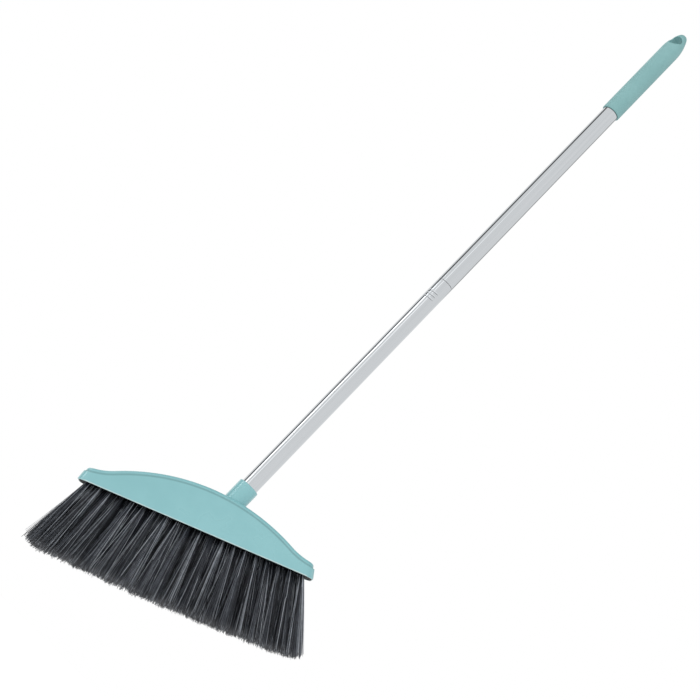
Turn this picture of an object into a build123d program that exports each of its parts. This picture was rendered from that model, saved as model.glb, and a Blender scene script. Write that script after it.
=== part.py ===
"""Household broom: an arched brush head with a leaning screw socket, on a two-piece tubular handle.

Millimetres. +Z runs up the handle, +X towards the raised end of the head and +Y to its back.
The origin is the middle of the hanging hole in the grip.
"""
import os
from math import asin, atan2, cos, degrees, radians, sin, sqrt, tan

from build123d import *

os.makedirs("parts", exist_ok=True)

# Fits
running_fit = 0.05          # radial room of a turning or sliding piece in its bore
press_room = 0.02           # radial room of an insert that is held in its tube
seat_room = 0.15            # room round a plate, a screw or a staple in its pocket
mouth_room = 0.3            # radial room of the tube in the mouth of the socket

# Handle tubes
tube_diameter = 25.0
tube_wall = 0.6
upper_exposed = 367.4       # bare upper tube, from the seam to the grip
lower_exposed = 395.0       # bare lower tube, from the socket to the seam
seam_gap = 0.4
seam_round = 0.3            # of the two tube ends at the seam
crimp_count = 3             # marks of each jaw of the crimping tool, which lock the joint plug
crimp_pitch = 5.6
crimp_below_seam = 22.2
crimp_depth = 0.9
crimp_width = 3.0
crimp_span = 100.0          # of a mark round the tube, in degrees
crimp_turn = 31.0           # of the middle of a mark from straight ahead, in degrees

# Grip
grip_diameter = 29.0
grip_length = 175.1
grip_dome = 37.5            # height of the rounded end
grip_tip_radius = 8.1
grip_rim_round = 0.8
hang_diameter = 19.0
hang_below_top = 19.6
hang_turn = 35.0            # of the hole's axis from straight ahead, in degrees
hang_edge_round = 0.8
grip_web = 18.0             # solid plastic between the hole and the end of the tube

# Screw joint between the tubes
plug_length = 46.0
spigot_diameter = 17.0
spigot_length = 18.0
spigot_chamfer = 1.5
insert_length = 38.0
insert_headroom = 2.0       # free bore past the end of the spigot
insert_setback = 0.6        # of the insert from the end of its tube

# Threaded tip at the foot of the handle
tip_insert_length = 35.0
tip_collar = 2.0
tip_diameter = 20.0
tip_reach = 20.0
tip_chamfer = 1.5
tube_in_socket = 14.0

# Socket of the head
socket_diameter = 31.0
socket_height = 87.0        # of its rim over the foot of the head, along the handle
socket_floor = 4.0
socket_headroom = 1.0       # free bore past the end of the tip
socket_rim_round = 1.2
handle_lean = 20.37         # of the handle from square to the head, in degrees
handle_offset = 12.0        # of the handle's axis from the middle of the head, at its foot

# Head shell
head_length = 337.0
head_depth = 54.0
end_round = 15.0
end_draft = 15.0
face_draft = 5.5
arch_height = 57.3
crown_radius = 290.0
shoulder_radius = 90.0
shoulder_height = 19.3
band_height = 6.0           # from the crease to the top of the arch
band_step = 2.0             # how far the band stands back from the face
band_round = 4.5
lip_round = 0.8
skirt_wall = 1.8
band_wall = 2.2
roof_wall = 2.6
boss_diameter = 9.0

# Brush block, tufts and fasteners
block_recess = 0.4
block_seat = 11.5           # height of the ledge that the block is pulled against
strip_thickness = 3.0
strip_margin = 3.6          # of a strip past its last tuft
row_names = ("front", "inner_front", "middle", "inner_back", "back")
row_margin = 11.0           # of the outer rows from the faces of the head
tuft_margin = 17.0          # of the last tufts from the ends of the head
tufts_in_row = 20           # in every other row, one fewer between
screw_count = 4             # screws, each in place of one tuft of the middle row
strand_width = 1.3
strand_offset = 2.2         # of the outer strands of a tuft from its middle one
strand_length = 107.0
side_fan = 17.5             # lean of the outermost tufts along the head, in degrees
side_set = 1.7              # lean of all the tufts towards the low end of the head, in degrees
cross_fan = 8.0             # lean of the outermost rows across the head, in degrees
tuft_spread_along = 3.3     # how much wider a tuft is at its tips, along the head
tuft_spread_across = 1.7
staple_span = 4.4
staple_thickness = 0.5
staple_height = 3.0
screw_diameter = 3.5
screw_length = 15.0
screw_head_diameter = 7.0
screw_head_height = 2.2
drive_width = 1.0
drive_depth = 1.0

# Heights along the handle
top_z = hang_below_top
grip_z = top_z - grip_length
tube_top_z = -hang_diameter / 2 - grip_web
seam_z = grip_z - upper_exposed
rim_z = seam_z - lower_exposed
tube_foot_z = rim_z - tube_in_socket
collar_z = tube_foot_z - tip_collar
tip_z = collar_z - tip_reach
bore_z = tip_z - socket_headroom
core_z = bore_z - socket_floor
foot_z = rim_z - socket_height

# Radii that fit in one another
tube_radius = tube_diameter / 2
tube_bore = tube_radius - tube_wall
plug_radius = tube_bore - running_fit
spigot_radius = spigot_diameter / 2
tip_radius = tip_diameter / 2

# Crimps: the round section of a mark, its places up the tube and how far its jaw's ring stands off the axis
crimp_round = (crimp_width ** 2 / 4 + crimp_depth ** 2) / (2 * crimp_depth)
crimp_core = tube_radius - crimp_depth + crimp_round
crimp_heights = [seam_z - crimp_below_seam - crimp_pitch * mark for mark in range(crimp_count)]
crimp_places = [(crimp_core, height) for height in crimp_heights]
crimp_shift = crimp_depth / (1 - cos(radians(crimp_span / 2)))
front_jaw = Vector(-sin(radians(crimp_turn)), -cos(radians(crimp_turn)), 0)
jaws = (front_jaw, front_jaw * -1)

# Planes of the leaning head: its foot, and its long upright middle
along_head = Vector(cos(radians(handle_lean)), 0, sin(radians(handle_lean)))
up_head = Vector(-sin(radians(handle_lean)), 0, cos(radians(handle_lean)))
head_middle = Vector(0, 0, foot_z) - along_head * handle_offset
head_foot = Plane(origin=head_middle, x_dir=along_head, z_dir=up_head)
head_upright = Plane(origin=head_middle, x_dir=along_head, z_dir=(0, -1, 0))

# Places of the strips, tufts and screws
tuft_reach = head_length / 2 - tuft_margin
tuft_pitch = 2 * tuft_reach / (tufts_in_row - 1)
row_reach = head_depth / 2 - row_margin
row_pitch = 2 * row_reach / (len(row_names) - 1)
strip_length = 2 * (tuft_reach + strip_margin)
strip_top = block_recess + strip_thickness
screw_spacing = tufts_in_row // screw_count
screw_tufts = [screw_spacing * screw + screw_spacing // 2 for screw in range(screw_count)]
screw_places = [(tuft * tuft_pitch - tuft_reach, 0) for tuft in screw_tufts]


def crimp_section(jaw, radius):
    """Sketch the round sections of the marks on the side of the tube that the jaw presses."""
    with BuildSketch(Plane(origin=(0, 0, 0), x_dir=jaw, z_dir=jaw.cross(Vector(0, 0, 1)))) as section:
        with Locations(crimp_places):
            Circle(radius)
    return section.sketch


def jaw_ring(jaw):
    """Axis of a jaw's rings, off the tube's axis so that its marks taper out round the tube."""
    return Axis(jaw * -crimp_shift, (0, 0, 1))


def arch_face(drop):
    """Sketch the arched outline of the head, set in by drop and open below the foot."""
    crown_z = arch_height - crown_radius
    shoulder_z = shoulder_height + shoulder_radius
    reach = crown_radius + shoulder_radius
    shoulder_x = sqrt(reach ** 2 - (shoulder_z - crown_z) ** 2)
    turn = degrees(asin(shoulder_x / reach))
    flat_z = shoulder_height - drop
    with BuildSketch(head_upright) as outline:
        with BuildLine():
            CenterArc((0, crown_z), crown_radius - drop, 90 - turn, turn)
            CenterArc((shoulder_x, shoulder_z), shoulder_radius + drop, 270 - turn, turn)
            Polyline(
                (shoulder_x, flat_z),
                (head_length, flat_z),
                (head_length, -head_depth),
                (0, -head_depth),
            )
            mirror(about=Plane.YZ)
        make_face()
    return outline.sketch


def drafted_sketch(inset, height):
    """Sketch the outline of the drafted wall, inset, at a height over the foot."""
    end_inset = inset + height * tan(radians(end_draft))
    face_inset = inset + height * tan(radians(face_draft))
    with BuildSketch(head_foot.offset(height)) as outline:
        RectangleRounded(head_length - 2 * end_inset, head_depth - 2 * face_inset, end_round - face_inset)
    return outline.sketch


def tuft_places(row):
    """Places of the tufts of a row along the head, without those that the screws take."""
    count = tufts_in_row - row % 2
    places = [(tuft - (count - 1) / 2) * tuft_pitch for tuft in range(count)]
    if row_names[row] == "middle":
        return [place for tuft, place in enumerate(places) if tuft not in screw_tufts]
    return places


def row_place(row):
    """Place of a row across the head, from front to back."""
    return row * row_pitch - row_reach


def strand(x, y, dx, dy):
    """One square strand that leaves the middle of the tuft at x, y by dx, dy and fans outwards."""
    side = radians(side_fan) * x / tuft_reach - radians(side_set)
    cross = radians(cross_fan) * y / row_reach
    root = Vector(x + dx, y + dy, block_recess + strip_thickness / 2)
    tip = Vector(
        x + dx * tuft_spread_along + strand_length * sin(side),
        y + dy * tuft_spread_across + strand_length * sin(cross),
        block_recess - strand_length * cos(side) * cos(cross),
    )
    start = head_foot.from_local_coords(root)
    section = Face.make_rect(strand_width, strand_width, Plane(start, head_foot.x_dir, head_foot.z_dir))
    return Solid.extrude(section, head_foot.from_local_coords(tip) - start)


tuft_grid = [(x, row_place(row)) for row in range(len(row_names)) for x in tuft_places(row)]

# Grip: a sleeve with a rounded end, closed over the tube and pierced by the hanging hole
with BuildPart() as grip:
    grip_radius = grip_diameter / 2
    dome_z = top_z - grip_dome
    side_radius = (grip_radius ** 2 + grip_dome ** 2 - 2 * grip_dome * grip_tip_radius) / (
        2 * (grip_radius - grip_tip_radius)
    )
    side_turn = degrees(atan2(grip_dome - grip_tip_radius, side_radius - grip_radius))
    with BuildSketch(Plane.XZ):
        with BuildLine():
            Polyline(
                (0, top_z),
                (0, tube_top_z),
                (tube_radius + press_room, tube_top_z),
                (tube_radius + press_room, grip_z),
                (grip_radius, grip_z),
                (grip_radius, dome_z),
            )
            CenterArc((grip_radius - side_radius, dome_z), side_radius, 0, side_turn)
            CenterArc((0, top_z - grip_tip_radius), grip_tip_radius, side_turn, 90 - side_turn)
        make_face()
    revolve(axis=Axis.Z)
    fillet(grip.edges().group_by(Axis.Z)[0].sort_by(SortBy.RADIUS)[-1], grip_rim_round)
    hang_axis = (-sin(radians(hang_turn)), -cos(radians(hang_turn)), 0)
    with BuildSketch(Plane(origin=(0, 0, 0), x_dir=(0, 0, 1), z_dir=hang_axis)):
        Circle(hang_diameter / 2)
    extrude(amount=grip_diameter, both=True, mode=Mode.SUBTRACT)
    fillet(grip.edges(Select.LAST).filter_by(GeomType.LINE, reverse=True), hang_edge_round)
grip.part.label = "grip"
export_step(grip.part, "parts/grip.step")

# Upper tube: plain, from the seam up into the grip
with BuildPart() as upper_tube:
    with BuildSketch(Plane.XY.offset(seam_z + seam_gap)):
        Circle(tube_radius)
        Circle(tube_bore, mode=Mode.SUBTRACT)
    extrude(amount=tube_top_z - seam_z - seam_gap)
    fillet(upper_tube.edges().group_by(Axis.Z)[0].sort_by(SortBy.RADIUS)[-1], seam_round)
upper_tube.part.label = "upper_tube"
export_step(upper_tube.part, "parts/upper_tube.step")

# Joint socket: the female half of the screw joint, held in the foot of the upper tube
with BuildPart() as joint_socket:
    with BuildSketch(Plane.XY.offset(seam_z + seam_gap + insert_setback)):
        Circle(tube_bore - press_room)
    extrude(amount=insert_length)
    with BuildSketch(Plane.XY.offset(seam_z)):
        Circle(spigot_radius + running_fit)
    extrude(amount=spigot_length + insert_headroom, mode=Mode.SUBTRACT)
joint_socket.part.label = "joint_socket"
export_step(joint_socket.part, "parts/joint_socket.step")

# Joint plug: the male half, with grooves that the backs of the crimps stand in
with BuildPart() as joint_plug:
    with BuildSketch(Plane.XY.offset(seam_z)):
        Circle(plug_radius)
    extrude(amount=-plug_length)
    with BuildSketch(Plane.XY.offset(seam_z)):
        Circle(spigot_radius)
    extrude(amount=spigot_length)
    chamfer(joint_plug.edges().group_by(Axis.Z)[-1], spigot_chamfer)
    with BuildSketch(Plane.XZ):
        with Locations(crimp_places):
            Circle(crimp_round + tube_wall + running_fit)
    revolve(axis=Axis.Z, mode=Mode.SUBTRACT)
joint_plug.part.label = "joint_plug"
export_step(joint_plug.part, "parts/joint_plug.step")

# Bore of the lower tube, less the backs of the crimps
with BuildPart() as lower_bore:
    with BuildSketch(Plane.XY.offset(tube_foot_z)):
        Circle(tube_bore)
    extrude(amount=seam_z - tube_foot_z)
    for jaw in jaws:
        revolve(crimp_section(jaw, crimp_round + tube_wall), axis=jaw_ring(jaw), mode=Mode.SUBTRACT)

# Lower tube: from the socket up to the seam, with crimp marks pressed into two sides of its wall
with BuildPart() as lower_tube:
    with BuildSketch(Plane.XY.offset(tube_foot_z)):
        Circle(tube_radius)
    extrude(amount=seam_z - tube_foot_z)
    fillet(lower_tube.edges().group_by(Axis.Z)[-1], seam_round)
    add(lower_bore.part, mode=Mode.SUBTRACT)
    for jaw in jaws:
        revolve(crimp_section(jaw, crimp_round), axis=jaw_ring(jaw), mode=Mode.SUBTRACT)
lower_tube.part.label = "lower_tube"
export_step(lower_tube.part, "parts/lower_tube.step")

# Threaded tip: a plug in the foot of the lower tube, with a collar and the spigot that the head takes
with BuildPart() as threaded_tip:
    with BuildSketch(Plane.XY.offset(collar_z)):
        Circle(plug_radius)
    extrude(amount=tip_collar + tip_insert_length)
    with BuildSketch(Plane.XY.offset(collar_z)):
        Circle(tube_radius)
    extrude(amount=tip_collar)
    with BuildSketch(Plane.XY.offset(collar_z)):
        Circle(tip_radius)
    extrude(amount=-tip_reach)
    chamfer(threaded_tip.edges().group_by(Axis.Z)[0], tip_chamfer)
threaded_tip.part.label = "threaded_tip"
export_step(threaded_tip.part, "parts/threaded_tip.step")

# Skirt of the head shell, up to the crease
with BuildPart() as skirt:
    loft([drafted_sketch(0, 0).face(), drafted_sketch(0, arch_height).face()], ruled=True)
    extrude(arch_face(band_height), amount=head_depth, both=True, mode=Mode.INTERSECT)
    foot_face = skirt.faces().sort_by(Axis(head_middle, up_head))[0]
    fillet(foot_face.edges(), lip_round)

# Band over the crease, set back from the face and rounded over the top
with BuildPart() as band:
    loft([drafted_sketch(band_step, 0).face(), drafted_sketch(band_step, arch_height).face()], ruled=True)
    extrude(arch_face(0), amount=head_depth, both=True, mode=Mode.INTERSECT)
    crest = band.faces().filter_by(GeomType.CYLINDER).edges()
    fillet([edge for edge in crest if crest.count(edge) == 1], band_round)

# Hollow of the shell: the seat of the block and the space over it, less the bosses and the socket
with BuildPart() as hollow:
    band_inset = band_step + band_wall
    loft([drafted_sketch(band_inset, 0).face(), drafted_sketch(band_inset, arch_height).face()], ruled=True)
    extrude(arch_face(roof_wall), amount=head_depth, both=True, mode=Mode.INTERSECT)
    loft([drafted_sketch(skirt_wall, 0).face(), drafted_sketch(skirt_wall, block_seat).face()], ruled=True)
    with BuildSketch(head_foot.offset(block_seat)):
        with Locations(screw_places):
            Circle(boss_diameter / 2)
    extrude(amount=arch_height, mode=Mode.SUBTRACT)
    with BuildSketch(Plane.XY.offset(core_z)):
        Circle(socket_diameter / 2)
    extrude(amount=socket_height, mode=Mode.SUBTRACT)

# Head shell: skirt, band and leaning socket, hollow from below
with BuildPart() as head_shell:
    add([skirt.part, band.part])
    with BuildSketch(Plane.XY.offset(core_z)):
        Circle(socket_diameter / 2)
    extrude(amount=rim_z - core_z)
    fillet(head_shell.edges().group_by(Axis.Z)[-1], socket_rim_round)
    add(hollow.part, mode=Mode.SUBTRACT)
    with BuildSketch(Plane.XY.offset(collar_z)):
        Circle(tube_radius + mouth_room)
    extrude(amount=rim_z - collar_z, mode=Mode.SUBTRACT)
    with BuildSketch(Plane.XY.offset(bore_z)):
        Circle(tip_radius + running_fit)
    extrude(amount=collar_z - bore_z, mode=Mode.SUBTRACT)
    with BuildSketch(head_foot.offset(block_seat)):
        with Locations(screw_places):
            Circle(screw_diameter / 2 + press_room)
    extrude(amount=screw_length, mode=Mode.SUBTRACT)
head_shell.part.label = "head_shell"
export_step(head_shell.part, "parts/head_shell.step")

# Brush block: a plate against the ledge in the skirt, with a pocket for the tufted strips
with BuildPart() as brush_block:
    block_inset = skirt_wall + seat_room
    block_foot = drafted_sketch(block_inset, block_recess).face()
    block_top = drafted_sketch(block_inset, block_seat).face()
    loft([block_foot, block_top], ruled=True)
    with BuildSketch(head_foot.offset(block_recess)):
        Rectangle(strip_length + 2 * seat_room, len(row_names) * row_pitch + seat_room)
    extrude(amount=strip_thickness, mode=Mode.SUBTRACT)
    with BuildSketch(head_foot.offset(strip_top)):
        with Locations(tuft_grid):
            Rectangle(staple_span + 2 * seat_room, staple_thickness + 2 * seat_room)
    extrude(amount=staple_height, mode=Mode.SUBTRACT)
    with BuildSketch(head_foot.offset(strip_top)):
        with Locations(screw_places):
            Circle(screw_diameter / 2 + seat_room)
    extrude(amount=block_seat, mode=Mode.SUBTRACT)
brush_block.part.label = "brush_block"
export_step(brush_block.part, "parts/brush_block.step")

# Tuft staples: a flat wire over each tuft, pressed into the block
with BuildPart() as tuft_staples:
    with BuildSketch(head_foot.offset(strip_top)):
        with Locations(tuft_grid):
            Rectangle(staple_span, staple_thickness)
    extrude(amount=staple_height)
tuft_staples.part.label = "tuft_staples"
export_step(tuft_staples.part, "parts/tuft_staples.step")

# Block screws: pan heads sunk in the middle strip, shanks in the bosses of the shell
with BuildPart() as block_screws:
    with BuildSketch(head_foot.offset(block_recess)):
        with Locations(screw_places):
            Circle(screw_head_diameter / 2)
    extrude(amount=screw_head_height)
    with BuildSketch(head_foot.offset(block_recess + screw_head_height)):
        with Locations(screw_places):
            Circle(screw_diameter / 2)
    extrude(amount=screw_length)
    with BuildSketch(head_foot.offset(block_recess)):
        with Locations(screw_places):
            Rectangle(screw_head_diameter - 2 * drive_width, drive_width)
            Rectangle(drive_width, screw_head_diameter - 2 * drive_width)
    extrude(amount=drive_depth, mode=Mode.SUBTRACT)
block_screws.part.label = "block_screws"
export_step(block_screws.part, "parts/block_screws.step")

# Bristle rows: tufts of strands that stand in a strip of the block
for row, row_name in enumerate(row_names):
    row_y = row_place(row)
    corners = [(-1, -1), (-1, 1), (0, 0), (1, -1), (1, 1)]
    strands = [
        strand(x, row_y, strand_offset * a, strand_offset * b) for x in tuft_places(row) for a, b in corners
    ]
    with BuildPart() as bristle_row:
        with BuildSketch(head_foot.offset(block_recess)):
            with Locations((0, row_y)):
                Rectangle(strip_length, row_pitch - seat_room)
        extrude(amount=strip_thickness)
        if row_name == "middle":
            with BuildSketch(head_foot.offset(block_recess)):
                with Locations(screw_places):
                    Circle(screw_head_diameter / 2 + seat_room)
            extrude(amount=screw_head_height, mode=Mode.SUBTRACT)
            with BuildSketch(head_foot.offset(block_recess)):
                with Locations(screw_places):
                    Circle(screw_diameter / 2 + seat_room)
            extrude(amount=strip_thickness, mode=Mode.SUBTRACT)
        add(strands)
    bristle_row.part.label = "bristle_row_" + row_name
    export_step(bristle_row.part, "parts/bristle_row_" + row_name + ".step")
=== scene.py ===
"""Looks of the household broom: moulded plastics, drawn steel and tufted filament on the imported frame.

Metres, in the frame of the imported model: +Z runs up the handle, +X towards the raised end of the head
and +Y to its back.
"""
import logging
import math
from dataclasses import dataclass
from enum import Enum
from random import Random
from typing import Any

import bmesh
import bpy
from bmesh.types import BMesh
from bpy.types import Material, Mesh, Node, NodeSocket, NodeTree, Object
from mathutils import Matrix, Vector


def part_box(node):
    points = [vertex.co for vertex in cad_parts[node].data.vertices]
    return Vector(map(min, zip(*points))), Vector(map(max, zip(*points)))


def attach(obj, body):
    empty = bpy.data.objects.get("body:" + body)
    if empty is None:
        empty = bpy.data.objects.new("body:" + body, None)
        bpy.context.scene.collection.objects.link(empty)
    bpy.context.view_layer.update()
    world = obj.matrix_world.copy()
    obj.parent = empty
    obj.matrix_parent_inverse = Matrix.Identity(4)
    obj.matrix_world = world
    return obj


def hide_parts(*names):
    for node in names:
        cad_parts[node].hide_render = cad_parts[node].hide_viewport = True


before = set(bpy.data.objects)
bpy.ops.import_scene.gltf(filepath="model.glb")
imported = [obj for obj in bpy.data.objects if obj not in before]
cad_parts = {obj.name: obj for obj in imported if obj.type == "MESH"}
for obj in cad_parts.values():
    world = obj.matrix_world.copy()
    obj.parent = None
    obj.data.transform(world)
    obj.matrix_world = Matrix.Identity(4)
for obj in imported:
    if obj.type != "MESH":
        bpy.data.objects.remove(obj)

LOG = logging.getLogger("broom")
Colour = tuple[float, float, float, float]
Place = tuple[float, float, float]


def paint(code: str) -> Colour:
    """Turn a hex colour as seen on a screen into a linear colour.

    Args:
        code: Six hex digits, such as "92C4C8".

    Returns:
        The linear red, green, blue and alpha.
    """
    levels = [int(code[place:place + 2], 16) / 255 for place in (0, 2, 4)]
    red, green, blue = [
        level / 12.92 if level <= 0.04045 else ((level + 0.055) / 1.055) ** 2.4 for level in levels
    ]
    return red, green, blue, 1.0


def settle(shape: BMesh, name: str) -> Mesh:
    """Turn a finished shape into a mesh, and use it up.

    Args:
        shape: The shape.
        name: Name of the mesh.

    Returns:
        The new mesh.
    """
    mesh = bpy.data.meshes.new(name)
    shape.to_mesh(mesh)
    shape.free()
    return mesh


def show(name: str, data: Any) -> Object:
    """Put a mesh, a light or a camera into the scene.

    Args:
        name: Name of the object.
        data: What it holds.

    Returns:
        The new object.
    """
    thing = bpy.data.objects.new(name, data)
    bpy.context.scene.collection.objects.link(thing)
    return thing


def carve(mesh: Mesh, tool: BMesh) -> Mesh:
    """Cut the shape of a tool out of a mesh, and use both up.

    Args:
        mesh: The mesh to cut.
        tool: The closed shape that is taken away.

    Returns:
        The mesh that is left.
    """
    bmesh.ops.recalc_face_normals(tool, faces=tool.faces[:])
    cutter = show("tool", settle(tool, "tool"))
    blank = show("blank", mesh)
    cut = blank.modifiers.new("cut", "BOOLEAN")
    cut.operation = "DIFFERENCE"
    cut.object = cutter
    bpy.context.view_layer.update()
    carved = bpy.data.meshes.new_from_object(blank.evaluated_get(bpy.context.evaluated_depsgraph_get()))
    spent = (cutter.data, mesh)
    for thing in (cutter, blank):
        bpy.data.objects.remove(thing)
    for used in spent:
        bpy.data.meshes.remove(used)
    return carved


def dress(material: Material, *nodes: str) -> None:
    """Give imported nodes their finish.

    Args:
        material: The finish.
        nodes: Names of the nodes.
    """
    for node in nodes:
        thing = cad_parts[node]
        if not thing.material_slots:
            thing.data.materials.append(material)
        for slot in thing.material_slots:
            slot.material = material
        LOG.info("%s: %s", node, material.name)


class Row(Enum):
    """Bristle rows, from the front of the head to its back."""

    FRONT = "front"
    INNER_FRONT = "inner_front"
    MIDDLE = "middle"
    INNER_BACK = "inner_back"
    BACK = "back"

    @property
    def node(self) -> str:
        """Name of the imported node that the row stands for."""
        return "bristle_row_" + self.value

    @property
    def place(self) -> int:
        """Number of the row, counted from the front."""
        return list(Row).index(self)

    @property
    def outer(self) -> bool:
        """Whether the row is the first or the last."""
        return self in (Row.FRONT, Row.BACK)


class Body(Enum):
    """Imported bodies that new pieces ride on."""

    JOINT = "joint_carrier"
    TIP = "tip_carrier"
    HEAD = "broom_head"


@dataclass(frozen=True)
class HeadFrame:
    """Leaning frame of the head: X along it, Y to its back and Z up out of its foot.

    Attributes:
        foot_height: Height of the foot where the handle's axis meets it.
        handle_offset: Distance of that axis from the middle of the head.
        lean: Angle of the head's foot to the level.
    """

    foot_height: float = -1.0049
    handle_offset: float = 0.012
    lean: float = math.radians(20.37)

    def matrix(self) -> Matrix:
        """Return the matrix from the head's frame to the model's frame."""
        shift = Matrix.Translation((-self.handle_offset, 0, 0))
        turn = Matrix.Rotation(-self.lean, 4, "Y")
        return Matrix.Translation((0, 0, self.foot_height)) @ turn @ shift


@dataclass
class NodeBoard:
    """A node tree under construction.

    Attributes:
        tree: The tree that takes the nodes.
    """

    tree: NodeTree

    def add(self, kind: str, **settings: Any) -> Node:
        """Add a node and set its properties.

        Args:
            kind: Type name of the node.
            settings: Properties of the node and their values.

        Returns:
            The new node.
        """
        node = self.tree.nodes.new(kind)
        for name, value in settings.items():
            setattr(node, name, value)
        return node

    def feed(self, socket: NodeSocket, source: Any) -> None:
        """Link a socket to an output, or set it to a value.

        Args:
            socket: The input to feed.
            source: An output socket or a plain value.
        """
        if isinstance(source, NodeSocket):
            self.tree.links.new(source, socket)
        else:
            socket.default_value = source

    def join(self, kind: str, *sources: Any, **settings: Any) -> NodeSocket:
        """Add a node and feed its inputs in their order.

        Args:
            kind: Type name of the node.
            sources: Output sockets or values.
            settings: Properties of the node and their values.

        Returns:
            The node's first output.
        """
        node = self.add(kind, **settings)
        for socket, source in zip(node.inputs, sources):
            self.feed(socket, source)
        return node.outputs[0]

    def sum(self, operation: str, *sources: Any) -> NodeSocket:
        """Return the result of a Math node with the given operation and inputs."""
        return self.join("ShaderNodeMath", *sources, operation=operation)

    def span(self, value: Any, start: Any, end: Any, low: Any = 0.0, high: Any = 1.0) -> NodeSocket:
        """Return a value mapped smoothly, from start and end to low and high."""
        sources = (value, start, end, low, high)
        return self.join("ShaderNodeMapRange", *sources, interpolation_type="SMOOTHSTEP")

    def noise(self, vector: Any, scale: Any, detail: float, roughness: float = 0.5) -> NodeSocket:
        """Add a Noise node.

        Args:
            vector: Output that gives the place.
            scale: Features for each metre.
            detail: Octaves of the noise.
            roughness: Weight of the finer octaves.

        Returns:
            The noise value.
        """
        node = self.add("ShaderNodeTexNoise")
        sources = {"Vector": vector, "Scale": scale, "Detail": detail, "Roughness": roughness}
        for name, source in sources.items():
            self.feed(node.inputs[name], source)
        return node.outputs[0]

    def blend(self, factor: Any, first: Any, second: Any, colours: bool = True) -> NodeSocket:
        """Add a Mix node.

        Args:
            factor: Weight of the second source.
            first: Colour, number or output at weight 0.
            second: Colour, number or output at weight 1.
            colours: Whether the sources are colours and not numbers.

        Returns:
            The mixed colour or number.
        """
        node = self.add("ShaderNodeMix", data_type="RGBA" if colours else "FLOAT")
        sockets, result = ((0, 6, 7), 2) if colours else ((0, 2, 3), 0)
        for socket, source in zip(sockets, (factor, first, second)):
            self.feed(node.inputs[socket], source)
        return node.outputs[result]

    def split(self, vector: Any) -> Any:
        """Part a vector into its outputs X, Y and Z."""
        node = self.add("ShaderNodeSeparateXYZ")
        self.feed(node.inputs[0], vector)
        return node.outputs

    def place(self, matrix: Matrix | None = None, scale: Place = (1, 1, 1)) -> Any:
        """Add object coordinates, turned and stretched where asked.

        Args:
            matrix: Matrix from object coordinates to the pattern's own.
            scale: Stretch along each axis.

        Returns:
            The vector output.
        """
        vector = self.add("ShaderNodeTexCoord").outputs["Object"]
        if matrix is None and scale == (1, 1, 1):
            return vector
        mapping = self.add("ShaderNodeMapping")
        self.feed(mapping.inputs["Vector"], vector)
        if matrix is not None:
            mapping.inputs["Location"].default_value = matrix.to_translation()
            mapping.inputs["Rotation"].default_value = matrix.to_euler()
        mapping.inputs["Scale"].default_value = scale
        return mapping.outputs[0]

    def bump(self, height: Any, distance: float, strength: float) -> NodeSocket:
        """Add a Bump node.

        Args:
            height: Output that gives the height.
            distance: Height of one unit, in metres.
            strength: Strength of the bump.

        Returns:
            The normal.
        """
        node = self.add("ShaderNodeBump")
        for name, source in {"Height": height, "Distance": distance, "Strength": strength}.items():
            self.feed(node.inputs[name], source)
        return node.outputs[0]

    def group(self, tree: NodeTree, **values: Any) -> Any:
        """Place a shader group.

        Args:
            tree: The group's tree.
            values: Outputs or values for its inputs, with _ for a blank in a name.

        Returns:
            The outputs of the group's node.
        """
        node = self.add("ShaderNodeGroup", node_tree=tree)
        for name, value in values.items():
            self.feed(node.inputs[name.replace("_", " ")], value)
        return node.outputs


@dataclass
class Effects:
    """Shader groups that several finishes share, each built once.

    Attributes:
        flow_marks: Flow marks of moulded plastic along one drift of its colour.
        flow_share: Share of the flow marks in the drift.
    """

    flow_marks: float = 7.0
    flow_share: float = 0.3

    def __post_init__(self) -> None:
        """Build the groups."""
        self.moulding = self._moulding()
        self.drawing = self._drawing()

    @staticmethod
    def _start(name: str, inputs: dict[str, str], outputs: list[str]) -> tuple[NodeBoard, Any, Any]:
        """Start a group with its sockets.

        Args:
            name: Name of the group.
            inputs: Kind of each input, by name.
            outputs: Name of each output, all of them numbers.

        Returns:
            The board of the new group, its inputs and its outputs.
        """
        tree = bpy.data.node_groups.new(name, "ShaderNodeTree")
        for label, kind in inputs.items():
            tree.interface.new_socket(label, in_out="INPUT", socket_type="NodeSocket" + kind)
        for label in outputs:
            tree.interface.new_socket(label, in_out="OUTPUT", socket_type="NodeSocketFloat")
        board = NodeBoard(tree)
        return board, board.add("NodeGroupInput").outputs, board.add("NodeGroupOutput").inputs

    def _moulding(self) -> NodeTree:
        """Return the group for moulded plastic: slow drift, flow marks and the grain of the mould."""
        inputs = {"Vector": "Vector", "Drift Scale": "Float", "Grain Scale": "Float"}
        board, start, end = self._start("moulded_surface", inputs, ["Drift", "Grain"])
        vector = start["Vector"]
        flow_scale = board.sum("MULTIPLY", start["Drift Scale"], self.flow_marks)
        slow = board.noise(vector, start["Drift Scale"], detail=3.0, roughness=0.55)
        slow = board.sum("MULTIPLY", slow, 1 - self.flow_share)
        flow = board.sum("MULTIPLY", board.noise(vector, flow_scale, detail=2.0), self.flow_share)
        board.feed(end["Drift"], board.span(board.sum("ADD", slow, flow), start=0.32, end=0.68))
        board.feed(end["Grain"], board.noise(vector, start["Grain Scale"], detail=2.0, roughness=0.6))
        return board.tree

    def _drawing(self) -> NodeTree:
        """Return the group for worked metal: lines along the stretched vector, and faint handling marks."""
        inputs = {"Line Vector": "Vector", "Mark Vector": "Vector", "Line Scale": "Float"}
        board, start, end = self._start("worked_metal", inputs, ["Lines", "Marks"])
        lines = board.noise(start["Line Vector"], start["Line Scale"], detail=3.0, roughness=0.6)
        marks = board.noise(start["Mark Vector"], scale=35.0, detail=4.0, roughness=0.6)
        board.feed(end["Lines"], lines)
        board.feed(end["Marks"], board.span(marks, start=0.46, end=0.72))
        return board.tree


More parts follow.
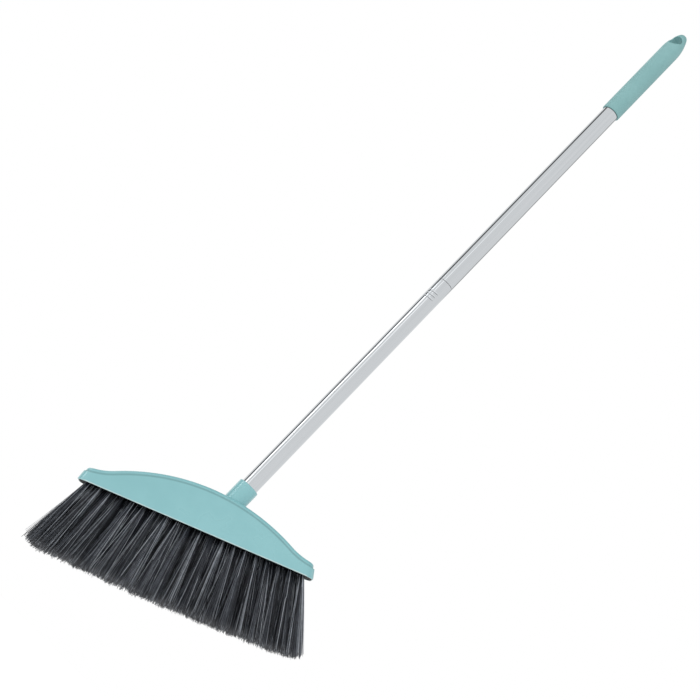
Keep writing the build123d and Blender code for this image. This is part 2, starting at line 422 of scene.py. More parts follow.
def start_material(name: str) -> tuple[Material, NodeBoard, Any]:
    """Start a material with a Principled shader.

    Args:
        name: Name of the material.

    Returns:
        The material, its board and the shader's inputs.
    """
    material = bpy.data.materials.new(name)
    material.use_nodes = True
    shader = material.node_tree.nodes["Principled BSDF"]
    return material, NodeBoard(material.node_tree), shader.inputs


@dataclass(frozen=True)
class TwoTone:
    """A finish whose colour and roughness drift between two values.

    Attributes:
        name: Name of the material.
        deep: Colour where it looks deepest.
        pale: Colour where it looks palest.
        smooth: Lowest roughness.
        matt: Highest roughness.
    """

    name: str
    deep: str
    pale: str
    smooth: float
    matt: float


@dataclass(frozen=True)
class MouldedPlastic(TwoTone):
    """Injection-moulded plastic.

    Attributes:
        drift_scale: Colour drifts for each metre.
        grain_scale: Grains for each metre.
        grain_depth: Depth of the grain.
        coat: Weight of the glossy skin.
        specular: Level of the highlights, 0.5 for common plastic.
    """

    drift_scale: float = 9.0
    grain_scale: float = 1500.0
    grain_depth: float = 0.00004
    coat: float = 0.0
    specular: float = 0.5

    def material(self, effects: Effects) -> Material:
        """Build the material.

        Args:
            effects: The shared groups.

        Returns:
            The new material.
        """
        material, board, shader = start_material(self.name)
        place = self.place(board)
        surface = board.group(
            effects.moulding, Vector=place, Drift_Scale=self.drift_scale, Grain_Scale=self.grain_scale
        )
        colour = board.blend(surface["Drift"], paint(self.deep), paint(self.pale))
        board.feed(shader["Base Color"], self.mark(board, place, colour))
        board.feed(shader["Roughness"], board.span(surface["Drift"], 0.0, 1.0, self.matt, self.smooth))
        board.feed(shader["Normal"], board.bump(surface["Grain"], self.grain_depth, strength=0.6))
        shader["Specular IOR Level"].default_value = self.specular
        shader["Coat Weight"].default_value = self.coat
        shader["Coat Roughness"].default_value = 0.1
        return material

    def place(self, board: NodeBoard) -> Any:
        """Add the coordinates that the drift and the grain follow."""
        return board.place()

    def mark(self, board: NodeBoard, place: Any, colour: Any) -> Any:
        """Return the colour unchanged, because plain plastic has no marks of its own."""
        return colour


@dataclass(frozen=True)
class ShellPlastic(MouldedPlastic):
    """Plastic of the head's shell, with a painted highlight along the lip and painted shade in the crease
    under the arch.

    Attributes:
        head: Frame of the head.
        lip_highlight: Colour of the painted highlight along the lip's edge.
        lip_height: Height of the painted highlight over the foot.
        lip_front: Place across the head from which the painted highlight begins, towards its front.
        painted_shade: Colour of the painted shade in the crease under the arch.
        crease_half: Half of the width of the painted shade along the crease.
        crown_radius: Radius of the crease over the middle of the head.
        crown_centre: Place of that arc's centre, along the head and over its foot.
        shoulder_radius: Radius of the crease at the ends of the head.
        shoulder_centre: Place of that arc's centre, along the head and over its foot.
        shoulder_start: Distance from the middle of the head at which the two arcs meet.
    """

    head: HeadFrame = HeadFrame()
    lip_highlight: str = "D6EBEB"
    lip_height: float = 0.0017
    lip_front: float = -0.0255
    painted_shade: str = "6C9EA1"
    crease_half: float = 0.0021
    crown_radius: float = 0.284
    crown_centre: tuple[float, float] = (0.0, -0.2327)
    shoulder_radius: float = 0.096
    shoulder_centre: tuple[float, float] = (0.16565, 0.1093)
    shoulder_start: float = 0.1264

    def place(self, board: NodeBoard) -> Any:
        """Add the coordinates of the head's own frame."""
        return board.place(self.head.matrix().inverted())

    def mark(self, board: NodeBoard, place: Any, colour: Any) -> Any:
        """Paint shade into the crease and a highlight along the lip, in patches.

        Args:
            board: The material's board.
            place: Output with the place in the head's frame.
            colour: Output with the plain colour.

        Returns:
            The marked colour.
        """
        split = board.split(place)
        # Painted shade: the crease under the arch is darkened to stand in for its shadow.
        colour = board.blend(self._crease_shade_mask(board, split), colour, paint(self.painted_shade))
        # Painted highlight: a pale band along the front edge of the foot, broken into patches.
        lip = board.span(split["Z"], self.lip_height, self.lip_height / 2, high=0.9)
        ahead = board.span(split["Y"], self.lip_front, self.lip_front - self.lip_height / 2)
        patches = board.noise(place, scale=60.0, detail=3.0)
        patches = board.span(patches, start=0.35, end=0.6, low=0.6, high=1.0)
        painted_highlight = board.sum("MULTIPLY", board.sum("MULTIPLY", lip, ahead), patches)
        return board.blend(painted_highlight, colour, paint(self.lip_highlight))

    def _crease_shade_mask(self, board: NodeBoard, split: Any) -> NodeSocket:
        """Add the mask of the painted shade along the crease.

        Args:
            board: The material's board.
            split: Outputs with the place in the head's frame.

        Returns:
            The mask.
        """
        side = board.sum("ABSOLUTE", split["X"])
        upright = board.join("ShaderNodeCombineXYZ", side, 0.0, split["Z"])
        reaches = []
        for along, height in (self.crown_centre, self.shoulder_centre):
            reach = board.add("ShaderNodeVectorMath", operation="DISTANCE")
            board.feed(reach.inputs[0], upright)
            reach.inputs[1].default_value = (along, 0.0, height)
            reaches.append(reach.outputs["Value"])
        over = board.blend(
            board.sum("GREATER_THAN", side, self.shoulder_start),
            board.sum("SUBTRACT", reaches[0], self.crown_radius),
            board.sum("SUBTRACT", self.shoulder_radius, reaches[1]),
            colours=False,
        )
        away = board.sum("ABSOLUTE", board.sum("SUBTRACT", over, self.crease_half / 4))
        return board.span(away, self.crease_half, self.crease_half / 4, high=0.55)


@dataclass(frozen=True)
class DrawnSteel(TwoTone):
    """Bright steel with fine lines along the tube and a painted shadow where it leaves the grip.

    Attributes:
        line_scale: Lines for each metre across the tube.
        stretch: Length of a line against its width.
        painted_rim_shadow: Colour of the painted shadow where the tube leaves the grip.
        rim_shadow_height: How far the painted shadow reaches from there.
    """

    line_scale: float = 700.0
    stretch: float = 160.0
    painted_rim_shadow: str = "3A3C3C"
    rim_shadow_height: float = 0.0016

    def material(self, effects: Effects) -> Material:
        """Build the material.

        Args:
            effects: The shared groups.

        Returns:
            The new material.
        """
        material, board, shader = start_material(self.name)
        metal = board.group(
            effects.drawing,
            Line_Vector=board.place(scale=(1, 1, 1 / self.stretch)),
            Mark_Vector=board.place(),
            Line_Scale=self.line_scale,
        )
        lines = board.span(metal["Lines"], start=0.3, end=0.7)
        colour = board.blend(lines, paint(self.deep), paint(self.pale))
        # Painted shadow: a dark band on the tube at the grip's mouth, standing in for the shadow in the
        # gap.
        grip_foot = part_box("grip")[0].z
        away = board.sum("ABSOLUTE", board.sum("SUBTRACT", grip_foot, board.split(board.place())["Z"]))
        rim_shadow = board.span(away, self.rim_shadow_height, 0.0, high=0.9)
        board.feed(shader["Base Color"], board.blend(rim_shadow, colour, paint(self.painted_rim_shadow)))
        dull = board.sum("MULTIPLY", board.sum("ADD", lines, metal["Marks"]), 0.5)
        board.feed(shader["Roughness"], board.span(dull, 0.0, 1.0, self.smooth, self.matt))
        board.feed(shader["Normal"], board.bump(metal["Lines"], distance=0.000006, strength=0.5))
        shader["Metallic"].default_value = 1.0
        return material


@dataclass(frozen=True)
class Filament:
    """Charcoal filament, each strand with a shade of its own, painted paler near its root, and a dusty end.

    Attributes:
        name: Name of the material.
        shades: Colours from the darkest strands to the palest, with their places from 0 to 1.
        dusty: Colour of the strands' ends.
        roughness: Roughness of the strands.
    """

    name: str
    shades: tuple[tuple[float, str], ...]
    dusty: str
    roughness: float

    def material(self) -> Material:
        """Build the material and return it."""
        material, board, shader = start_material(self.name)
        shade = board.add("ShaderNodeAttribute", attribute_name="strand_shade").outputs["Fac"]
        reach = board.add("ShaderNodeAttribute", attribute_name="strand_reach").outputs["Fac"]
        ramp = board.add("ShaderNodeValToRGB")
        elements = ramp.color_ramp.elements
        while len(elements) < len(self.shades):
            elements.new(0.5)
        for element, (place, code) in zip(elements, self.shades):
            element.position = place
            element.color = paint(code)
        flecks = board.noise(board.place(), scale=140.0, detail=3.0)
        flecks = board.span(flecks, start=0.35, end=0.65, low=-0.04, high=0.04)
        # Painted light: strands are made paler near their roots to offset the shade under the shell.
        painted_lift = board.span(reach, start=0.04, end=0.3, low=1.1, high=1.0)
        root_lightened = board.sum("MULTIPLY", shade, painted_lift)
        board.feed(ramp.inputs["Fac"], board.sum("ADD", root_lightened, flecks))
        dust = board.span(reach, start=0.93, end=1.0, high=0.35)
        board.feed(shader["Base Color"], board.blend(dust, ramp.outputs["Color"], paint(self.dusty)))
        shader["Roughness"].default_value = self.roughness
        shader["IOR"].default_value = 1.5
        return material


class Finishes:
    """All the finishes of the broom."""

    def __init__(self) -> None:
        """Build the materials."""
        effects = Effects()
        shell = ShellPlastic(
            "teal_shell", "89C4C9", "91CBD0", smooth=0.26, matt=0.34, drift_scale=7.0, coat=0.7
        )
        grip = MouldedPlastic(
            "teal_grip", "87B6B7", "8FBEBF", smooth=0.42, matt=0.52, drift_scale=14.0, grain_depth=0.00006
        )
        tube = DrawnSteel("bright_tube", "C4C8CB", "CCCFD2", smooth=0.05, matt=0.11)
        insert = MouldedPlastic("black_insert", "3B3B3E", "454548", smooth=0.4, matt=0.52, drift_scale=30.0)
        block = MouldedPlastic(
            "black_block", "101113", "1A1B1E", smooth=0.6, matt=0.75, drift_scale=18.0, specular=0.08
        )
        fastener = DrawnSteel(
            "plated_wire", "6C6F70", "85888A", smooth=0.5, matt=0.62, line_scale=1500.0, stretch=1.0
        )
        shades = ((0.0, "13161B"), (0.4, "3A3E46"), (0.75, "787E87"), (1.0, "CCD2DA"))
        self.shell = shell.material(effects)
        self.grip = grip.material(effects)
        self.tube = tube.material(effects)
        self.insert = insert.material(effects)
        self.block = block.material(effects)
        self.fastener = fastener.material(effects)
        self.filament = Filament("charcoal_filament", shades, dusty="6A6A6C", roughness=0.42).material()


@dataclass(frozen=True)
class ScrewThread:
    """Coarse thread that is cut into the plain spigot of an insert.

    Attributes:
        name: Name of the threaded insert.
        node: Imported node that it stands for.
        body: Body that it rides on.
        reach: Length of the spigot, below zero where it points down.
        radius: Radius of the spigot.
        pitch: Climb of one turn.
        depth: Depth of the groove.
        mouth: Width of the groove outside the spigot, as a share of the pitch.
        floor: Width of the groove at its floor, as a share of the pitch.
        steps: Steps of one turn.
        lead_in: Turn of the groove's start from the right of the broom.
        crease: Angle between faces from which their edge stays sharp.
        weld: Distance within which points are one.
    """

    name: str
    node: str
    body: Body
    reach: float
    radius: float
    pitch: float
    depth: float = 0.0012
    mouth: float = 0.66
    floor: float = 0.26
    steps: int = 40
    lead_in: float = math.radians(3.1)
    crease: float = math.radians(32.0)
    weld: float = 0.000002

    def build(self, material: Material) -> None:
        """Cut the thread and set the insert in the place of its node.

        Args:
            material: Finish of the insert.
        """
        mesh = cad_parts[self.node].data.copy()
        mesh.attributes.remove(mesh.attributes["custom_normal"])
        self._weld(mesh)
        mesh = carve(mesh, self._groove())
        self._weld(mesh)
        mesh.name = self.name
        mesh.materials.clear()
        mesh.materials.append(material)
        for face in mesh.polygons:
            face.use_smooth = True
            face.material_index = 0
        mesh.set_sharp_from_angle(angle=self.crease)
        piece = show(self.name, mesh)
        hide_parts(self.node)
        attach(piece, self.body.value)
        LOG.info("%s: %d faces", piece.name, len(mesh.polygons))

    def _weld(self, mesh: Mesh) -> None:
        """Join the points of a mesh that lie together, and drop the slivers between them.

        A cut leaves its points in any order, so they are sorted for the same result each time.

        Args:
            mesh: The mesh to weld.
        """
        shape = bmesh.new()
        shape.from_mesh(mesh)
        points = sorted(shape.verts, key=lambda vertex: vertex.co.to_tuple())
        bmesh.ops.remove_doubles(shape, verts=points, dist=self.weld)
        bmesh.ops.dissolve_degenerate(shape, edges=shape.edges[:], dist=self.weld)
        shape.to_mesh(mesh)
        shape.free()

    def _groove(self) -> BMesh:
        """Return the closed shape of the groove, wound along the spigot and out past its end."""
        way = math.copysign(1.0, self.reach)
        low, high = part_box(self.node)
        shoulder = (high if way > 0 else low).z - self.reach
        start = shoulder + way * self.pitch / 2
        outer = self.radius + self.depth / 2
        inner = self.radius - self.depth
        corners = ((outer, -self.mouth), (outer, self.mouth), (inner, self.floor), (inner, -self.floor))
        shape = bmesh.new()
        section = [shape.verts.new((reach, 0, start + side * self.pitch / 2)) for reach, side in corners]
        face = shape.faces.new(section)
        bmesh.ops.rotate(shape, matrix=Matrix.Rotation(self.lead_in, 3, "Z"), verts=section)
        turns = abs(self.reach) / self.pitch
        bmesh.ops.spin(
            shape,
            geom=[face, *face.edges, *face.verts],
            cent=(0, 0, 0),
            axis=(0, 0, 1),
            dvec=(0, 0, way * self.pitch / self.steps),
            angle=way * turns * math.tau,
            steps=round(turns * self.steps),
            use_merge=False,
        )
        return shape


@dataclass
class PackedPieces:
    """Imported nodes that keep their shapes, and the inserts that get threads.

    Attributes:
        finishes: The broom's finishes.
        threads: Threads of the two inserts that screw into others.
    """

    finishes: Finishes
    threads: tuple[ScrewThread, ...] = (
        ScrewThread("threaded_plug", "joint_plug", Body.JOINT, reach=0.018, radius=0.0085, pitch=0.004),
        ScrewThread("tip_thread", "threaded_tip", Body.TIP, reach=-0.020, radius=0.0100, pitch=0.005),
    )

    def dress(self) -> None:
        """Give the nodes their finishes, and the screw inserts their threads."""
        dress(self.finishes.grip, "grip")
        dress(self.finishes.tube, "upper_tube", "lower_tube")
        dress(self.finishes.insert, "joint_socket", "joint_plug", "threaded_tip")
        dress(self.finishes.shell, "head_shell")
        dress(self.finishes.block, "brush_block")
        dress(self.finishes.fastener, "tuft_staples", "block_screws")
        for thread in self.threads:
            thread.build(self.finishes.insert)


@dataclass
class Bristles:
    """Tufts of filament in five rows, each row on its strip of the block.

    Attributes:
        finishes: The broom's finishes.
        head: Frame of the head.
        tuft_reach: Distance of the last tuft from the middle of the head.
        tufts_in_row: Tufts of every other row, one fewer between.
        screw_tufts: Tufts of the middle row whose places the screws take.
        row_reach: Distance of the outer rows from the middle of the head.
        strip_length: Length of a strip.
        strip_width: Width of a strip.
        strip_depth: Thickness of a strip.
        recess: Height of the strips' faces over the foot.
        recess_radius: Radius of the room for a screw's head.
        recess_depth: Depth of that room.
        shank_radius: Radius of the hole for a screw's shank.
        strand_length: Length of a strand below the strip.
        strand_radius: Radius of a strand at its root.
        tip_radius: Radius of a strand at its tip.
        strands: Strands in a tuft.
        segments: Bends along a strand.
        root_along: Reach of a tuft's roots along the head, in outer and in inner rows.
        root_across: Reach of a tuft's roots across the head.
        spread_along: Reach of a tuft's tips along the head.
        spread_across: Reach of a tuft's tips across the head.
        spread_power: Power of a strand's length by which the tuft spreads.
        stray_chance: Share of the strands that stand out of their tuft.
        stray_reach: Reach of their tips against that of the others.
        crossing: Usual stray of a tip, along and across the head.
        root_scatter: Usual offset of a root.
        tip_scatter: Usual offset of a tip.
        bow: Usual bow of a strand.
        drop: Least and greatest length that a strand has over the usual one.
        length_trim: Usual difference of the strands' lengths.
        tip_crown: How much shorter a tuft is at its rim than at its heart.
        tuft_trim: Usual difference of the tufts' lengths, as a share.
        side_fan: Lean of the outermost tufts along the head.
        side_set: Lean of all the tufts towards the low end of the head.
        side_wander: Usual stray lean of a tuft along the head, in degrees.
        cross_fan: Lean of the outermost rows across the head.
        cross_wander: Usual stray lean of a tuft across the head, in degrees.
        shade_spread: Alpha and beta of the beta spread of the strands' shades.
        outer_painted_lift: Painted lightening of the shades in the outer rows, which stands in for their
            lying in the light.
        inner_painted_lift: Smaller painted lightening of the shades in the inner rows, which stands in for
            their lying in shade.
        kinds: Different tufts that take turns.
        seed: Seed of the strands' places.
    """

    finishes: Finishes
    head: HeadFrame = HeadFrame()
    tuft_reach: float = 0.1515
    tufts_in_row: int = 20
    screw_tufts: tuple[int, ...] = (2, 7, 12, 17)
    row_reach: float = 0.016
    strip_length: float = 0.3102
    strip_width: float = 0.00785
    strip_depth: float = 0.003
    recess: float = 0.0004
    recess_radius: float = 0.00365
    recess_depth: float = 0.0022
    shank_radius: float = 0.0019
    strand_length: float = 0.1072
    strand_radius: float = 0.0004
    tip_radius: float = 0.00028
    strands: int = 112
    segments: int = 4
    root_along: tuple[float, float] = (0.0027, 0.0042)
    root_across: float = 0.003
    spread_along: float = 0.0082
    spread_across: float = 0.0066
    spread_power: float = 0.95
    stray_chance: float = 0.06
    stray_reach: float = 1.45
    crossing: tuple[float, float] = (0.0025, 0.0006)
    root_scatter: float = 0.0003
    tip_scatter: float = 0.0005
    bow: float = 0.0003
    drop: tuple[float, float] = (-0.0045, 0.0024)
    length_trim: float = 0.001
    tip_crown: float = 0.0034
    tuft_trim: float = 0.009
    side_fan: float = math.radians(17.5)
    side_set: float = math.radians(1.7)
    side_wander: float = 1.0
    cross_fan: float = math.radians(8.0)
    cross_wander: float = 0.8
    shade_spread: tuple[float, float] = (0.42, 0.9)
    outer_painted_lift: float = 0.09
    inner_painted_lift: float = 0.02
    kinds: int = 8
    seed: int = 11

    @property
    def tuft_pitch(self) -> float:
        """Distance between the tufts of a row."""
        return 2 * self.tuft_reach / (self.tufts_in_row - 1)

    def build(self) -> None:
        """Build the five rows and set them in the place of their nodes."""
        dice = Random(self.seed)
        strand = self._strand()
        outer, inner = [
            [self._tuft(strand, reach, dice) for _ in range(self.kinds)] for reach in self.root_along
        ]
        for row in Row:
            piece = self._row(row, outer if row.outer else inner, strand, dice)
            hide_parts(row.node)
            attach(piece, Body.HEAD.value)
            LOG.info("%s: %d faces", piece.name, len(piece.data.polygons))
        for mesh in outer + inner + [strand]:
            bpy.data.meshes.remove(mesh)

    def places(self, row: Row) -> list[float]:
        """Places of a row's tufts along the head.

        Args:
            row: The row.

        Returns:
            The distance of each tuft from the middle of the head.
        """
        count = self.tufts_in_row - row.place % 2
        screws = self.screw_tufts if row is Row.MIDDLE else ()
        return [(tuft - (count - 1) / 2) * self.tuft_pitch for tuft in range(count) if tuft not in screws]

    def _strand(self) -> Mesh:
        """Return the mesh of one straight strand, from its root at the origin to -1 on Z."""
        shape = bmesh.new()
        bmesh.ops.create_cone(
            shape,
            cap_ends=True,
            segments=3,
            radius1=self.tip_radius,
            radius2=self.strand_radius,
            depth=1.0,
            matrix=Matrix.Translation((0, 0, -0.5)),
        )
        long_edges = [edge for edge in shape.edges if abs(edge.verts[0].co.z - edge.verts[1].co.z) > 0.5]
        bmesh.ops.subdivide_edges(shape, edges=long_edges, cuts=self.segments - 1, use_grid_fill=True)
        for face in shape.faces:
            face.smooth = True
        return settle(shape, "strand")

    def _tuft(self, strand: Mesh, root_along: float, dice: Random) -> Mesh:
        """Bend strands into a tuft that hangs from the origin.

        Args:
            strand: Mesh of one strand.
            root_along: Reach of the roots along the head.
            dice: Source of the strands' places.

        Returns:
            The tuft's mesh.
        """
        shape = bmesh.new()
        for _ in range(self.strands):
            turn = dice.uniform(0, math.tau)
            reach = math.sqrt(dice.random())
            stray = self.stray_reach if dice.random() < self.stray_chance else 1.0
            root = Vector((math.cos(turn) * root_along, math.sin(turn) * self.root_across, 0)) * reach
            tip = Vector((math.cos(turn) * self.spread_along, math.sin(turn) * self.spread_across, 0))
            tip = tip * reach * stray + self._scatter(dice, *self.crossing)
            drop = dice.uniform(*self.drop) - self.tip_crown * reach ** 2
            root += self._scatter(dice, self.root_scatter, self.root_scatter)
            tip += self._scatter(dice, self.tip_scatter, self.tip_scatter)
            bow = self._scatter(dice, self.bow, self.bow)
            length = self.strand_length + self.strip_depth / 2 + drop + dice.gauss(0, self.length_trim)
            first = len(shape.verts)
            shape.from_mesh(strand)
            shape.verts.ensure_lookup_table()
            for vertex in shape.verts[first:]:
                along = -vertex.co.z
                centre = root.lerp(tip, along ** self.spread_power) + bow * math.sin(math.pi * along)
                vertex.co = Vector((vertex.co.x, vertex.co.y, 0)) + centre - Vector((0, 0, along * length))
        return settle(shape, "tuft")

    @staticmethod
    def _scatter(dice: Random, along: float, across: float) -> Vector:
        """Return a small level offset with these usual lengths along and across the head."""
        return Vector((dice.gauss(0, along), dice.gauss(0, across), 0))

    def _row(self, row: Row, tufts: list[Mesh], strand: Mesh, dice: Random) -> Object:
        """Set a row's tufts in its strip.

        Args:
            row: The row.
            tufts: Meshes of the tufts that take turns.
            strand: Mesh of one strand.
            dice: Source of the tufts' order and the strands' shades.

        Returns:
            The row's object.
        """
        across = (row.place / (len(Row) - 1) * 2 - 1) * self.row_reach
        shape = bmesh.new()
        for along in self.places(row):
            first = len(shape.verts)
            shape.from_mesh(dice.choice(tufts))
            shape.verts.ensure_lookup_table()
            side = self.side_fan * along / self.tuft_reach - self.side_set
            side += math.radians(dice.gauss(0, self.side_wander))
            cross = self.cross_fan * across / self.row_reach
            cross += math.radians(dice.gauss(0, self.cross_wander))
            matrix = (
                self.head.matrix()
                @ Matrix.Translation((along, across, self.recess + self.strip_depth / 2))
                @ Matrix.Rotation(-side, 4, "Y")
                @ Matrix.Rotation(cross, 4, "X")
                @ Matrix.Rotation(dice.choice((0.0, math.pi)), 4, "Z")
                @ Matrix.Diagonal((1, 1, dice.gauss(1, self.tuft_trim), 1))
            )
            bmesh.ops.transform(shape, matrix=matrix, verts=shape.verts[first:])
        strand_total = len(shape.verts) // len(strand.vertices)
        strip = self._strip(row, across)
        shape.from_mesh(strip)
        bpy.data.meshes.remove(strip)
        name = row.value + "_bristles"
        mesh = settle(shape, name)
        self._shade(mesh, row, strand_total, strand, dice)
        for material in (self.finishes.filament, self.finishes.block):
            mesh.materials.append(material)
        return show(name, mesh)

    def _shade(self, mesh: Mesh, row: Row, count: int, strand: Mesh, dice: Random) -> None:
        """Give each strand a shade, and each of its points its reach along it.

        Args:
            mesh: Mesh of the row, strands first.
            row: The row.
            count: Number of strands.
            strand: Mesh of one strand.
            dice: Source of the shades.
        """
        points = len(strand.vertices)
        # Painted light: the outer rows are lifted paler than the inner ones, as if lit while the inner rows
        # lie in shade.
        painted_lift = self.outer_painted_lift if row.outer else self.inner_painted_lift
        shades = []
        for _ in range(count):
            shades += [min(dice.betavariate(*self.shade_spread) + painted_lift, 1.0)] * points
        reaches = [-vertex.co.z for vertex in strand.vertices] * count
        spare = [0.0] * (len(mesh.vertices) - count * points)
        for name, values in (("strand_shade", shades), ("strand_reach", reaches)):
            layer = mesh.attributes.new(name, "FLOAT", "POINT")
            layer.data.foreach_set("value", values + spare)

    def _strip(self, row: Row, across: float) -> Mesh:
        """Return the mesh of a row's strip, with room for the screws in the middle one.

        Args:
            row: The row.
            across: Place of the row across the head.

        Returns:
            The strip's mesh.
        """
        middle = self.recess + self.strip_depth / 2
        size = Matrix.Diagonal((self.strip_length, self.strip_width, self.strip_depth, 1))
        shape = bmesh.new()
        bmesh.ops.create_cube(shape, size=1.0, matrix=Matrix.Translation((0, across, middle)) @ size)
        bmesh.ops.bevel(
            shape, geom=shape.edges[:], offset=0.0003, affect="EDGES", segments=2, profile=0.5, material=-1
        )
        mesh = settle(shape, "strip")
        if row is Row.MIDDLE:
            mesh = self._pierced(mesh)
        for face in mesh.polygons:
            face.material_index = 1
        mesh.transform(self.head.matrix())
        return mesh

    def _pierced(self, mesh: Mesh) -> Mesh:
        """Cut the room for the screws into a strip.

        Args:
            mesh: Mesh of the plain strip, in the head's frame.

        Returns:
            Mesh of the pierced strip.
        """
        for radius, low, high in (
            (self.recess_radius, -self.recess_depth, self.recess_depth),
            (self.shank_radius, 0.0, 2 * self.strip_depth),
        ):
            tool = bmesh.new()
            for tuft in self.screw_tufts:
                along = tuft * self.tuft_pitch - self.tuft_reach
                place = Matrix.Translation((along, 0, self.recess + (low + high) / 2))
                sizes = {"radius1": radius, "radius2": radius, "depth": high - low}
                bmesh.ops.create_cone(tool, cap_ends=True, segments=32, matrix=place, **sizes)
            mesh = carve(mesh, tool)
        return mesh


class Zone(Enum):
    """Heights of the surroundings that a strip can fill."""

    ALL = "all"
    LOW = "low"
    HIGH = "high"
    FADING = "fading"


@dataclass(frozen=True)
class MirrorStrip:
    """Upright strip of the surroundings that the metal mirrors.

    Attributes:
        zone: Heights that it fills.
        middle: Its middle, in degrees to the left of straight ahead.
        half: Half of its width, in degrees.
        gain: How much lighter it is than the rest, below zero where it is darker.
    """

    zone: Zone
    middle: float
    half: float
    gain: float

    def level(self, board: NodeBoard, turn: Any) -> NodeSocket:
        """Return the strip's share of the level, for a direction's turn to the left of straight ahead."""
        away = board.sum("ABSOLUTE", board.sum("SUBTRACT", turn, math.radians(self.middle)))
        return board.span(away, math.radians(self.half), math.radians(self.half) / 3, high=self.gain)


@dataclass(frozen=True)
class Panel:
    """Soft square lamp that shiny pieces don't mirror.

    Attributes:
        name: Name of the lamp.
        place: Place of the lamp.
        size: Length of its sides.
        power: Power, in watts.
        aim: Place in the middle of the broom that it faces.
    """

    name: str
    place: Place
    size: float
    power: float
    aim: Place = (0.0, 0.0, -0.7)

    def build(self) -> None:
        """Hang the lamp."""
        light = bpy.data.lights.new(self.name, "AREA")
        light.size = self.size
        light.energy = self.power
        lamp = show(self.name, light)
        way = Vector(self.aim) - Vector(self.place)
        turn = way.to_track_quat("-Z", "Y").to_matrix().to_4x4()
        lamp.matrix_world = Matrix.Translation(self.place) @ turn
        lamp.visible_glossy = False


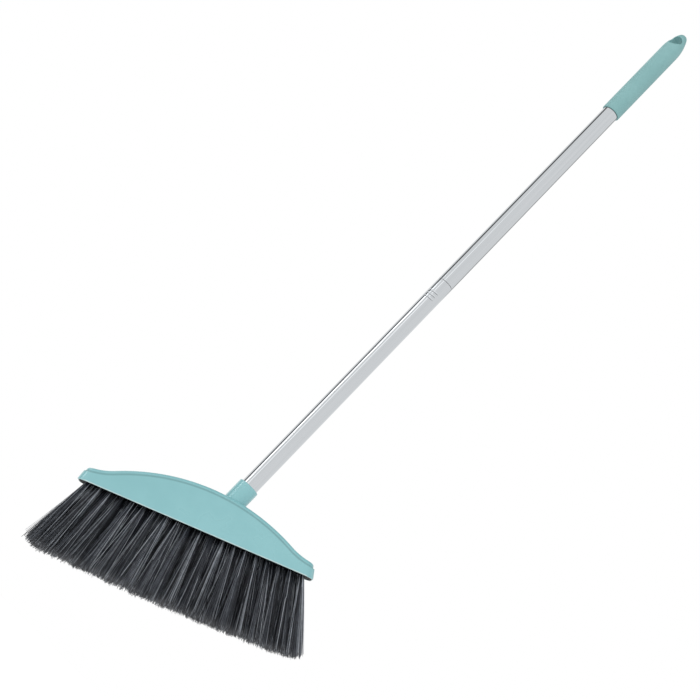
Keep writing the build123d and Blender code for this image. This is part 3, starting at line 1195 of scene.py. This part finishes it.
@dataclass
class Studio:
    """Floor, soft light, white surroundings and the camera of the photograph.

    Heights in the surroundings are given as the upright part of a direction.

    Attributes:
        floor_height: Height of the floor under the hanging broom.
        floor_size: Length of the floor's sides.
        floor_glow: Light that the floor adds for the camera and in mirrors.
        lamp_level: Level of the surroundings as light.
        lamp_slope: How much of that level moves from the right to the left.
        strips: Strips that the metal mirrors.
        strip_top: Heights between which the low strips end and the high ones begin, from above.
        darkest: Lowest level of the mirrored surroundings.
        panels: The lamps.
        camera_place: Place of the camera.
        camera_right: Direction to the right of the picture.
        camera_up: Direction to the top of the picture.
        lens: Focal length, in millimetres.
        shift: Shift of the picture to the right and up, in picture widths.
    """

    floor_height: float = -1.46
    floor_size: float = 9.0
    floor_glow: float = 0.4
    lamp_level: float = 0.74
    lamp_slope: float = 0.06
    strips: tuple[MirrorStrip, ...] = (
        MirrorStrip(Zone.LOW, middle=77.0, half=5.0, gain=3.5),
        MirrorStrip(Zone.FADING, middle=38.0, half=6.0, gain=0.6),
        MirrorStrip(Zone.ALL, middle=103.0, half=15.0, gain=-0.92),
        MirrorStrip(Zone.HIGH, middle=90.0, half=7.0, gain=-0.5),
        MirrorStrip(Zone.HIGH, middle=-150.0, half=24.0, gain=-0.6),
    )
    strip_top: tuple[float, float] = (0.325, 0.305)
    darkest: float = 0.03
    panels: tuple[Panel, ...] = (
        Panel("left_panel", (-1.9, -1.3, 0.1), size=1.4, power=4.0),
        Panel("front_panel", (0.3, -2.4, 0.7), size=1.6, power=11.0),
    )
    camera_place: Place = (0.1185, -1.8680, -1.1515)
    camera_right: Place = (0.72713, -0.11094, 0.67747)
    camera_up: Place = (-0.68216, -0.22755, 0.69490)
    lens: float = 72.1
    shift: tuple[float, float] = (-0.0007, 0.0007)

    def build(self) -> None:
        """Build the studio."""
        self._floor()
        self._world()
        for panel in self.panels:
            panel.build()
        self._camera()
        bpy.context.scene.view_settings.view_transform = "Standard"

    def _floor(self) -> None:
        """Lay the floor."""
        shape = bmesh.new()
        level = Matrix.Translation((0, 0, self.floor_height))
        bmesh.ops.create_grid(shape, x_segments=1, y_segments=1, size=self.floor_size / 2, matrix=level)
        mesh = settle(shape, "floor")
        mesh.materials.append(self._pale())
        floor = show("floor", mesh)

    def _pale(self) -> Material:
        """Return the floor's finish, which is white to the camera and clear from below."""
        material, board, _ = start_material("pale_floor")
        board.tree.nodes.remove(board.tree.nodes["Principled BSDF"])
        drift = board.noise(board.place(), scale=1.5, detail=2.0)
        pale = board.join("ShaderNodeBsdfDiffuse", board.blend(drift, paint("F4F4F4"), paint("F8F8F8")))
        path = board.add("ShaderNodeLightPath").outputs
        seen = board.sum("MAXIMUM", path["Is Camera Ray"], path["Is Glossy Ray"])
        seen = board.sum("MAXIMUM", seen, path["Is Transmission Ray"])
        strength = board.sum("MULTIPLY", seen, self.floor_glow)
        glow = board.join("ShaderNodeEmission", paint("FFFFFF"), strength)
        lit = board.join("ShaderNodeAddShader", pale, glow)
        clear = board.join("ShaderNodeBsdfTransparent")
        behind = board.add("ShaderNodeNewGeometry").outputs["Backfacing"]
        both = board.join("ShaderNodeMixShader", behind, lit, clear)
        board.feed(board.tree.nodes["Material Output"].inputs["Surface"], both)
        return material

    def _world(self) -> None:
        """Surround the broom with white, with bright and dark upright strips for the metal to mirror."""
        world = bpy.data.worlds.new("studio")
        bpy.context.scene.world = world
        world.use_nodes = True
        board = NodeBoard(world.node_tree)
        split = board.split(board.add("ShaderNodeTexCoord").outputs["Generated"])
        left = board.sum("MULTIPLY", split["X"], -1.0)
        ahead = board.sum("MULTIPLY", split["Y"], -1.0)
        turn = board.sum("ARCTAN2", left, ahead)
        low = board.span(split["Z"], *self.strip_top)
        zones = {
            Zone.ALL: 1.0,
            Zone.LOW: low,
            Zone.HIGH: board.sum("SUBTRACT", 1.0, low),
            Zone.FADING: board.span(split["Z"], start=0.3, end=0.46, low=1.0, high=0.1),
        }
        mirrored: Any = 1.0
        for strip in self.strips:
            mirrored = board.sum("MULTIPLY_ADD", strip.level(board, turn), zones[strip.zone], mirrored)
        mirrored = board.sum("MAXIMUM", mirrored, self.darkest)
        dusk = board.span(split["Z"], start=0.58, end=0.85, low=1.0, high=0.12)
        mirrored = board.sum("MULTIPLY", mirrored, dusk)
        slope = board.sum("MULTIPLY_ADD", split["X"], -self.lamp_slope, self.lamp_level)
        path = board.add("ShaderNodeLightPath").outputs
        shiny = board.sum("MAXIMUM", path["Is Glossy Ray"], path["Is Transmission Ray"])
        level = board.blend(shiny, slope, mirrored, colours=False)
        seen = board.blend(path["Is Camera Ray"], level, 1.0, colours=False)
        background = board.tree.nodes["Background"]
        background.inputs["Color"].default_value = (1, 1, 1, 1)
        board.feed(background.inputs["Strength"], seen)

    def _camera(self) -> None:
        """Set the camera where the photograph was taken."""
        data = bpy.data.cameras.new("photograph")
        data.lens = self.lens
        data.shift_x, data.shift_y = self.shift
        camera = show("photograph", data)
        right = Vector(self.camera_right).normalized()
        back = right.cross(Vector(self.camera_up)).normalized()
        turn = Matrix((right, back.cross(right), back)).transposed().to_4x4()
        camera.matrix_world = Matrix.Translation(self.camera_place) @ turn
        bpy.context.scene.camera = camera


def main() -> None:
    """Build and dress the broom, then its studio."""
    logging.basicConfig(level=logging.INFO, format="%(name)s: %(message)s")
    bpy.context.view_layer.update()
    finishes = Finishes()
    PackedPieces(finishes).dress()
    Bristles(finishes).build()
    Studio().build()


if __name__ == "__main__":
    main()
